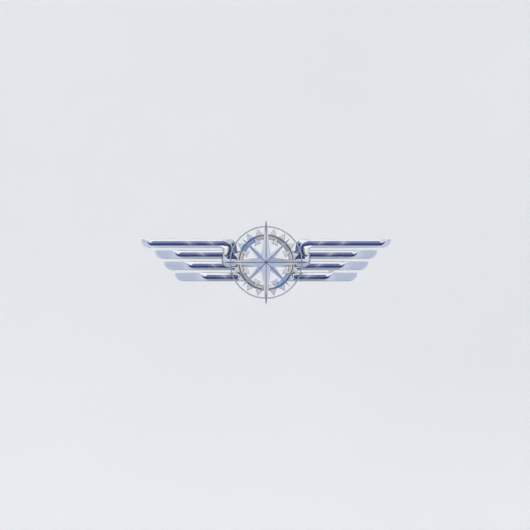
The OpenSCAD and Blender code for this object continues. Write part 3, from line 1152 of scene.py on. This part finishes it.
def bezel_paint(x, z, _):
    """Cream at the four main points as painted highlights, and darker between them, or blue as
    painted reflection. Dark in the groove, with painted shade along the inner edge.
    """
    angle = np.degrees(np.arctan2(np.abs(x), np.abs(z)))
    off_axis = np.minimum(angle, 90 - angle)
    r = np.hypot(x, z)
    axis = np.where(angle[:, None] < 45, BEZEL_UPRIGHT, BEZEL_SIDE)
    between = mix(BEZEL_BETWEEN, BEZEL_BLUE, blue_side(x, z))
    colour = mix(axis, between, smoothstep(16, 30, off_axis))
    ripple = 0.5 + 0.5 * np.sin(np.arctan2(x, z) * 70 + 3 * np.sin(np.arctan2(x, z) * 23))
    colour = mix(colour, BLUE_GREY, 0.16 * ripple)
    dark = smoothstep(0.18, 0.08, np.abs(r - 8.2))
    colour = mix(colour, SLATE, dark * 0.9)
    colour = mix(colour, SHADOW, smoothstep(7.06, 6.96, r) * 0.7)
    return with_polish(colour, 1 - 0.7 * dark)


def ring_paint(x, *_):
    """The outer ring: greyer above and below, light blue over the wings."""
    colour = mix(RING_GREY, RING_BLUE, smoothstep(5.5, 9.0, np.abs(x)))
    return with_polish(colour, 1.0)


def make_bezel():
    front = BEZEL_FRONT
    profile = [
        (6.97, 3.1), (7.33, 3.1), (7.35, 3.14), (7.35, 5.1), (8.56, 5.1), (8.6, 5.14),
        (8.6, front - 0.1), (8.56, front - 0.05), (8.34, front - 0.05), (8.3, front - 0.08),
        (8.25, front - 0.17), (8.15, front - 0.17), (8.1, front - 0.06), (8.06, front - 0.01),
        (7.98, front), (7.8, front), (7.72, front - 0.02), (7.64, front - 0.05),
        (7.3, front - 0.15), (7.04, front - 0.24), (6.97, front - 0.29), (6.95, front - 0.36),
        (6.95, 3.12),
    ]
    return turned_ring("bezel_ring", profile, bezel_paint)


def make_outer_ring():
    outer = (ring_high.x - ring_low.x) / 2
    inner = outer - 0.4
    back, front = -ring_high.y, -ring_low.y
    profile = [
        (inner + 0.03, back), (outer - 0.03, back), (outer, back + 0.03),
        (outer, front - 0.16), (outer - 0.03, front - 0.08), (outer - 0.1, front - 0.015),
        (outer - 0.2, front), (inner + 0.1, front - 0.015), (inner + 0.03, front - 0.08),
        (inner, front - 0.16), (inner, back + 0.03),
    ]
    return turned_ring("outer_ring", profile, ring_paint)


def point_rim(shape, angle):
    """A triangle on the compass with slightly hollow sides, from one base corner round its
    apex to the other."""
    base_r, half, apex_r, hollow = shape
    side = [
        (base_r + (apex_r - base_r) * t, half * (1 - t) ** (1 + hollow))
        for t in (0, 0.25, 0.5, 0.75)
    ]
    rim = [polar(r, angle, -wide) for r, wide in side]
    rim.append(polar(apex_r, angle))
    return rim + [polar(r, angle, wide) for r, wide in reversed(side)]


def raised_point(bm, shape, angle, back, edge):
    """A pointed solid with facets that rise from its rim to a low summit near its base."""
    rim = point_rim(shape, angle)
    low, high, lip = (
        [bm.verts.new(place(x, z, depth)) for x, z in path]
        for path, depth in ((rim, back), (rim, edge), (inset(rim, LIP_INSET), edge + LIP_RISE))
    )
    base_r, _, apex_r, _ = shape
    summit_r = base_r + (apex_r - base_r) * 0.3
    summit = bm.verts.new(place(*polar(summit_r, angle), edge + SUMMIT_RISE))
    bm.faces.new(low)
    bridge(bm, low, high)
    bridge(bm, high, lip)
    fan(bm, lip, summit)


def point_paint(x, z, normal):
    """Pale grey-cream, or blue as painted reflection, with painted shade round the rim."""
    front = -normal[:, 1]
    colour = mix(POINT_CREAM, POINT_BLUE, blue_side(x, z) * 0.8)
    colour = mix(colour, SHADOW, (front < 0.86) * 0.9)
    return with_polish(colour, np.where(front < 0.6, 0.5, 1.0))


def make_spikes():
    bm = bmesh.new()
    lathe(bm, SPIKE_BAND, COMPASS)
    for quarter in QUARTERS:
        for angle in SPIKE_ANGLES:
            raised_point(bm, SPIKE, quarter + angle, SPIKE_BACK, SPIKE_EDGE)
    return paint_corners(finish_mesh("spikes", bm, sharp_angle=8), point_paint)


def make_pointer(k):
    angle = QUARTERS[(k - 1) // 2] + POINTER_ANGLES[(k - 1) % 2]
    bm = bmesh.new()
    raised_point(bm, POINTER, angle, BEZEL_FRONT, POINTER_EDGE)
    return paint_corners(finish_mesh(f"pointer_{k}", bm, sharp_angle=8), point_paint)


# --- Star ---

star_low, star_high = box_mm("cardinal_star")
REACH = {0: star_high.z - CENTRE_Z, 90: star_high.x}
DIAGONAL_REACH = box_mm("diagonal_star")[1].x * math.sqrt(2)
NOTCH = 1.5
SHOULDER_R = 10.9
SHOULDER_HALF = 0.36
DIAGONAL_NOTCH = 1.447
LAP = 5.75
STAR_PEAK = -star_low.y
DIAGONAL_PEAK = 6.3
CARDINAL_SLOPE = 0.26
DIAGONAL_SLOPE = 0.24
CARDINAL_TIP = (12.8, 5.72)
DIAGONAL_TIP = 5.68
RIDGE_SIDES = (-0.18, 0, 0.18)
STAR_GREY = srgb(196, 197, 202)
STAR_LAVENDER = srgb(186, 192, 210)
STAR_BLUE = srgb(158, 176, 214)
STAR_SIDE = srgb(172, 184, 210)
STAR_TIP = srgb(160, 162, 170)


def cardinal_outline():
    path = []
    for q in QUARTERS:
        path += [
            polar(REACH[q % 180], q), polar(SHOULDER_R, q, SHOULDER_HALF),
            polar(NOTCH * math.sqrt(2), q + 45), polar(SHOULDER_R, q + 90, -SHOULDER_HALF),
        ]
    return path


def diagonal_outline():
    path = []
    for q in QUARTERS:
        path += [polar(DIAGONAL_REACH, q + 45), polar(DIAGONAL_NOTCH, q + 90)]
    return path


def cardinal_height(x, z):
    """Facets from the ridges down to the edges. Along a ray the ridge falls in a straight
    line, and across it the facet falls to the outline."""
    x, z = np.abs(x), np.abs(z)
    along, across = np.maximum(x, z), np.minimum(x, z)
    reach, level_there = CARDINAL_TIP
    ridge = STAR_PEAK + (level_there - STAR_PEAK) * along / reach
    return ridge - CARDINAL_SLOPE * across


def ridge_distance(x, z):
    """Distance from the star's eight ridges and valleys."""
    x, z = np.abs(x), np.abs(z)
    valley = np.where(np.minimum(x, z) < NOTCH, np.abs(x - z) / math.sqrt(2), 9)
    return np.minimum(np.minimum(x, z), valley)


def diagonal_height(x, z):
    x, z = np.abs(x), np.abs(z)
    along, across = (x + z) / math.sqrt(2), np.abs(x - z) / math.sqrt(2)
    ridge = DIAGONAL_PEAK + (DIAGONAL_TIP - DIAGONAL_PEAK) * along / DIAGONAL_REACH
    return ridge - DIAGONAL_SLOPE * across


def engraved(height, lines, depth=0.09, half_width=0.17):
    """A height with V-shaped grooves along lines."""
    return lambda x, z: height(x, z) - depth * smoothstep(half_width, 0, lines(x, z))


def star_paint(lines):
    """Pale lavender, bluer near the centre, with blue as painted reflection, dark engraved lines
    and thin dark rims of painted shade. The side rays get painted shade and the lower ray painted
    light.
    """

    def paint(x, z, normal):
        front = -normal[:, 1] > 0.45
        r = np.hypot(x, z)
        sideways = smoothstep(0.6, 1.4, np.abs(x) / np.maximum(np.abs(z), 1e-3))
        colour = mix(STAR_GREY, STAR_LAVENDER, smoothstep(7.5, 2.0, r))
        turned = np.minimum(np.abs(x), np.abs(z)) > 1.3
        colour = mix(colour, STAR_BLUE, blue_side(x, z) * turned * 0.6)
        colour = mix(colour, STAR_TIP, smoothstep(8.5, 10.5, r))
        # Painted shade: the side rays darker and bluer, most on their facets that face up.
        colour = mix(colour, STAR_SIDE, sideways * smoothstep(9, 3, r) * 0.7)
        colour = colour * (1 - 0.34 * sideways * smoothstep(0, 0.15, normal[:, 2]))[:, None]
        # Painted light: the lower ray lighter along its middle.
        below = smoothstep(-0.2, -1.5, z) * smoothstep(1.6, 0.8, np.abs(x))
        colour = colour * (1 + 0.16 * below)[:, None]
        dark = smoothstep(0.2, 0.1, lines(x, z))
        colour = mix(colour, SLATE, dark * 0.95)
        colour = mix(colour, SHADOW, (~front) * 0.85)
        return with_polish(colour, np.where(front, 1 - 0.8 * dark, 0.45))

    return paint


def diagonal_ridge(x, z):
    return np.abs(np.abs(x) - np.abs(z)) / math.sqrt(2)


def ray_creases(reach, offsets, turn):
    """Lines along all four rays at the given distances beside the ridge."""
    paths = []
    for q in QUARTERS:
        far = reach[q % 180] if isinstance(reach, dict) else reach
        for offset in offsets:
            start = abs(offset)
            paths.append([polar(start, q + turn, offset), polar(far - 0.6, q + turn, offset)])
    return paths


def make_cardinal_star():
    height = engraved(cardinal_height, ridge_distance)
    creases = ray_creases(REACH, RIDGE_SIDES, 0)
    creases += ray_creases(NOTCH * math.sqrt(2) + 0.5, RIDGE_SIDES, 45)
    piece = relief(
        "star_cardinal",
        cardinal_outline(),
        [(None, height)],
        [(None, level(BEZEL_FRONT)), (diagonal_outline(), level(LAP))],
        creases,
        [(-2.5, 2.5, -2.5, 2.5, 0.3)],
        rounding=0.05,
    )
    return paint_corners(piece, star_paint(ridge_distance))


def make_diagonal_star():
    height = engraved(diagonal_height, diagonal_ridge)
    piece = relief(
        "star_diagonal",
        diagonal_outline(),
        [(None, height), (cardinal_outline(), level(LAP))],
        [(None, level(BEZEL_FRONT))],
        ray_creases(DIAGONAL_REACH, RIDGE_SIDES, 45),
        rounding=0.05,
    )
    return paint_corners(piece, star_paint(diagonal_ridge))


# --- Rivets and findings ---

PIN_SIDES = 24
# Shares of the pin's length from the hinge, and of the wire's radius there.
PIN_TAPER = [(0.55, 1), (0.8, 0.97), (0.9, 0.88), (0.95, 0.72), (0.975, 0.5), (0.992, 0.25)]


def islands(node, reach):
    """Middle x, front, back and middle z of each separate solid of a CAD node, found by
    gathering the vertices that lie within reach of each other."""
    groups = []
    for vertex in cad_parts[node].data.vertices:
        spot = vertex.co / MM
        for group in groups:
            if (group[0].x - spot.x) ** 2 + (group[0].z - spot.z) ** 2 < reach**2:
                group.append(spot)
                break
        else:
            groups.append([spot])
    middles = []
    for group in groups:
        low, high = np.min(group, axis=0), np.max(group, axis=0)
        middles.append(((low[0] + high[0]) / 2, -low[1], -high[1], (low[2] + high[2]) / 2))
    return middles


def dome(r, base, height, sign, steps=6):
    """Profile of a domed head, from its rim to its middle, along the axis."""
    return [
        (r * math.cos(a), base + sign * height * math.sin(a))
        for a in np.linspace(0, math.pi / 2, steps + 1)
    ]


def make_rivets(node, shaft_r, head_r, head_h):
    """Shafts with domed heads behind the frame, one for each solid of the CAD node."""
    bm = bmesh.new()
    for x, front, back, z in islands(node, 2 * head_r + 0.1):
        face = back + head_h
        head = dome(head_r, face - 0.06, head_h - 0.06, -1)
        profile = [(0, front), (shaft_r, front), (shaft_r, face), (head_r - 0.03, face), *head]
        lathe(bm, profile, (x, 0, z), segments=40)
    return finish_mesh(node.replace("rivet", "domed_rivet"), bm)


def make_hinge_rivet():
    """A rivet set on both sides, along the hinge's upright axis."""
    low, high = box_mm("hinge_rivet")
    half, head_r = (high.z - low.z) / 2, (high.x - low.x) / 2
    head_h = 0.2
    upper = dome(head_r, half - head_h + 0.04, head_h - 0.04, 1)
    shaft_r = head_r - 0.25
    profile = [(r, -along) for r, along in reversed(upper)]
    profile += [(shaft_r, -half + head_h), (shaft_r, half - head_h), *upper]
    bm = bmesh.new()
    lathe(bm, profile, (low + high) / 2, "z", 40)
    return finish_mesh("hinge_rivet_set", bm)


def section(bm, x, half_y, half_z, roundness=1):
    """A ring of vertices across the pin: a circle at roundness 1, squarer above it."""
    ring = []
    for a in np.arange(PIN_SIDES) * 2 * math.pi / PIN_SIDES:
        c, s = math.cos(a), math.sin(a)
        y = half_y * math.copysign(abs(c) ** (1 / roundness), c)
        z = half_z * math.copysign(abs(s) ** (1 / roundness), s)
        ring.append(bm.verts.new(Vector((x, y, z)) * MM))
    return ring


def make_pin():
    """The brooch pin: a flattened round eye, a neck that rounds into wire, and a fine point."""
    low, high = box_mm("pin_stem")
    eye_r, eye_half, wire_r, bore_r = -low.y, 0.25, 0.4, 0.39
    hinge_x, length = low.x + eye_r, high.x - low.x - eye_r
    soft = 0.07
    upper = [
        (eye_r, eye_half - soft), (eye_r - 0.02, eye_half - 0.03), (eye_r - soft, eye_half),
        (bore_r + soft, eye_half), (bore_r, eye_half - soft),
    ]
    bm = bmesh.new()
    lathe(bm, [(r, -z) for r, z in reversed(upper)] + upper, (hinge_x, 0, 0), "z", 64)
    rings = []
    for t in np.linspace(0, 1, 9):
        flat = 1 - smoothstep(0, 1, t)
        half_z = wire_r - (wire_r - eye_half + 0.02) * flat
        rings.append(section(
            bm, hinge_x + 0.85 + 1.15 * t, wire_r + 0.12 * flat, half_z, 1 + 1.6 * flat
        ))
    for t, share in PIN_TAPER:
        rings.append(section(bm, hinge_x + length * t, wire_r * share, wire_r * share))
    for here, there in zip(rings, rings[1:]):
        bridge(bm, here, there)
    bm.faces.new(rings[0])
    fan(bm, rings[-1], bm.verts.new(Vector((high.x, 0, 0)) * MM))
    return finish_mesh("brooch_pin", bm, sharp_angle=40)


def soften(node, width):
    """Rounds the edges of a CAD node's look, as tumbling does. Its mesh stays as it is."""
    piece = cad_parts[node]
    weld = piece.modifiers.new("weld", "WELD")
    weld.merge_threshold = 2e-6
    flat = piece.modifiers.new("flat", "DECIMATE")
    flat.decimate_type = "DISSOLVE"
    flat.angle_limit = math.radians(1)
    bevel = piece.modifiers.new("bevel", "BEVEL")
    bevel.width = width * MM
    bevel.segments = 2
    bevel.limit_method = "ANGLE"
    bevel.angle_limit = math.radians(40)
    bevel.use_clamp_overlap = True
    weigh_normals(piece)


# --- Build ---

add_camera()
add_world()
add_lights()
add_backdrop(backdrop_material())

silver = painted_silver("feather_silver", 0.2, brush=(700, 6500, 6500), brush_depth=1.5e-6)
star_silver = painted_silver("star_silver", 0.24)
pointer_silver = painted_silver("pointer_silver", 0.26)
ring_silver = painted_silver("ring_silver", 0.2)
enamel_navy = enamel_material()
nickel = plain_metal("backing_nickel", srgb(190, 193, 200), srgb(150, 154, 164), 0.36, 2500)
drawn = (900, 6000, 6000)
steel = plain_metal("finding_steel", srgb(196, 199, 204), srgb(160, 164, 172), 0.28, 1, drawn)
rivet_nickel = plain_metal("rivet_nickel", srgb(206, 208, 212), srgb(170, 174, 180), 0.3, 3000)


def build_wings():
    for i in FEATHERS:
        grids = [(7, moulding_end(i), -6, 8, 0.3)]
        if i == 1:
            piece = paint_corners(top_feather(), top_feather_paint())
            height, pocket = pocket_top, top_pocket()
            grids.append((10.5, 14, 1.5, 6.8, 0.12))
        else:
            piece = paint_corners(straight_feather(i), feather_paint(i))
            height, pocket = feather_height(i), straight_pocket(i, 0.04)
        fill = enamel(f"enamel_right_{i}", i, pocket, height, grids)
        for side, sign in SIDES:
            for part, node, slot, material in (
                (piece, f"{side}_feather_{i}", "feather_silver", silver),
                (fill, f"{side}_inlay_{i}", "navy_enamel", enamel_navy),
            ):
                if sign < 0:
                    part = mirrored(part, part.name.replace("right", "left"))
                hand_over(part, node, material)


def build_windows():
    """The patch of enamel inside each scroll, which the frame counts with feather 2's. Its navy is
    partly painted shade: it stands for the hollow under the scroll, dark partly from patina and
    partly from shade.
    """
    fill = enamel("enamel_window_right", 1, WINDOW, scroll_height(), [(8, 13, 0, 4, 0.15)])
    for side, sign in SIDES:
        part = fill if sign > 0 else mirrored(fill, "enamel_window_left")
        hand_over(part, f"{side}_inlay_2", enamel_navy)


build_wings()
build_windows()
hand_over(make_bezel(), "compass_bezel", ring_silver)
hand_over(make_outer_ring(), "compass_outer_ring", ring_silver)
hand_over(make_spikes(), "compass_spike_ring", pointer_silver)
for k in range(1, 9):
    hand_over(make_pointer(k), f"inner_pointer_{k}", pointer_silver)
hand_over(make_cardinal_star(), "cardinal_star", star_silver)
hand_over(make_diagonal_star(), "diagonal_star", star_silver)

for side, _ in SIDES:
    rivets = make_rivets(f"{side}_rivets", shaft_r=0.35, head_r=0.6, head_h=0.25)
    hand_over(rivets, f"{side}_rivets", rivet_nickel)
star_rivet = make_rivets("star_rivet", shaft_r=0.45, head_r=0.9, head_h=0.3)
hand_over(star_rivet, "star_rivet", rivet_nickel)
hand_over(make_hinge_rivet(), "hinge_rivet", rivet_nickel)
hand_over(make_pin(), "pin_stem", steel, "stem")

CAD_FINISH = {
    "backing_frame": (nickel, 0.1),
    "hinge_bracket": (steel, 0.06),
    "catch_housing": (steel, 0.08),
    "catch_rotor": (rivet_nickel, 0.05),
}
for name, (material, softness) in CAD_FINISH.items():
    set_material(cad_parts[name], material)
    soften(name, softness)
